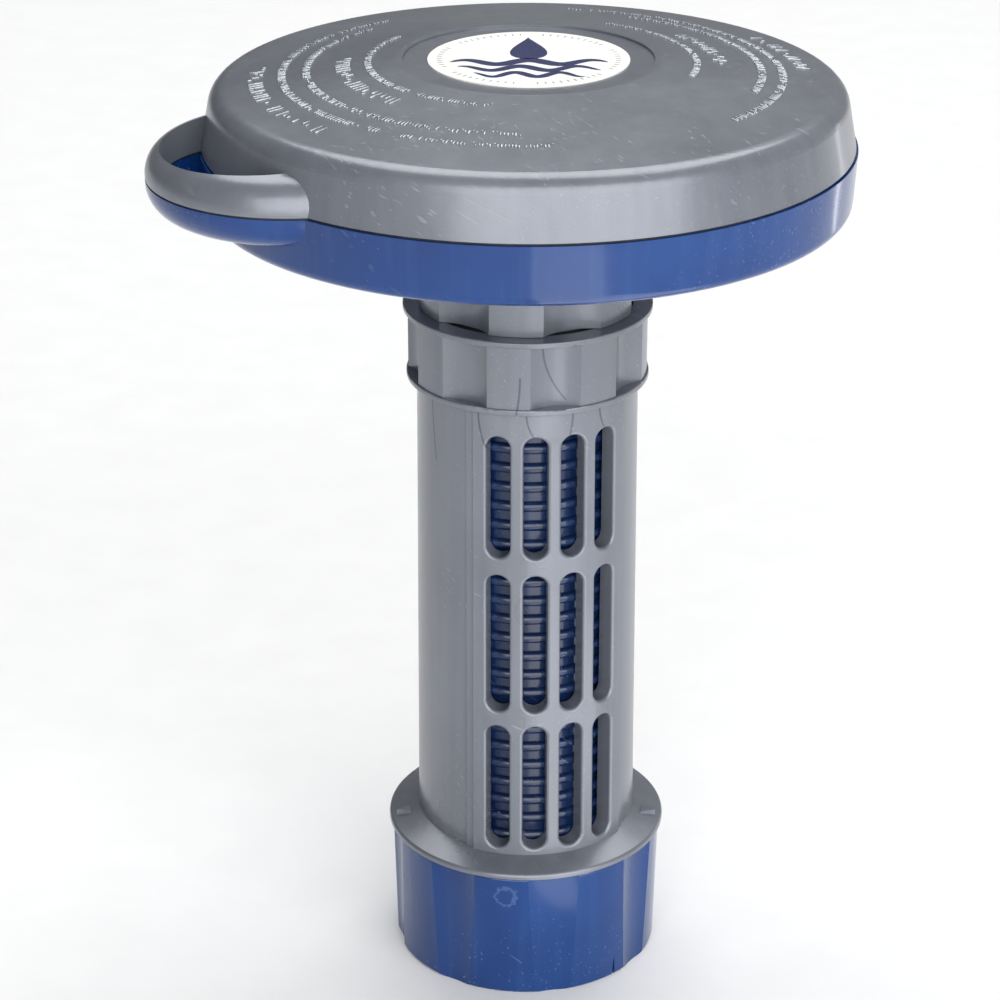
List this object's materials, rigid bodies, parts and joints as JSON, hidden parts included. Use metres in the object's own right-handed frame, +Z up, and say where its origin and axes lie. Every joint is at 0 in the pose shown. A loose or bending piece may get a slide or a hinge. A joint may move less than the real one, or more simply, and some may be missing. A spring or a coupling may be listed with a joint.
{
  "type": "floating chlorine dispenser",
  "caption": "Round hollow float with a finger loop over a slotted tablet canister that screws into its neck; a bottom cap turns a ribbed, slotted inner sleeve to set the flow.",
  "frame": {"origin": "on the canister's axis at the bottom of the cap's foot ring", "axes": "+Z up along the canister's axis towards the float; -Y is the side between the finger loop and the first slotted panel; +X completes the frame"},
  "size_m": [0.1352, 0.127, 0.1931],
  "materials": {
    "grey_plastic": "satin silver-grey pigmented moulding",
    "blue_plastic": "glossy navy blue moulding",
    "label": "printed film label",
    "seal_rubber": "black seal rubber",
    "white_acetal": "white snap ring",
    "screw_steel": "stainless screws"
  },
  "bodies": {
    "canister": {"canister_body": "grey_plastic"},
    "flow_control": {"flow_sleeve": "blue_plastic", "sleeve_lock_ring": "white_acetal", "tablet_grate": "blue_plastic", "flow_cap": "blue_plastic", "cap_screws": "screw_steel"},
    "neck_seal": {"neck_washer": "seal_rubber"},
    "float": {"float_upper_shell": "grey_plastic", "float_lower_shell": "blue_plastic", "rim_gasket": "seal_rubber", "label_disc": "label", "neck_hub": "grey_plastic", "hub_gasket": "seal_rubber", "hub_screws": "screw_steel"}
  },
  "joints": [
    {"name": "flow_adjust", "type": "hinge", "parent": "canister", "child": "flow_control", "pos_m": [0, 0, 0.028], "axis": [0, 0, 1], "range_deg": [0, 90]},
    {"name": "neck_lift", "type": "slide", "parent": "canister", "child": "neck_seal", "axis": [0, 0, 1], "range_m": [0, 0.008]},
    {"name": "float_unscrew", "type": "hinge", "parent": "neck_seal", "child": "float", "pos_m": [0, 0, 0.144], "axis": [0, 0, 1], "range_deg": [0, 720]}
  ],
  "couplings": [
    {"joint": "neck_lift", "follows": "float_unscrew", "m_per_rad": 0.0006366}
  ]
}
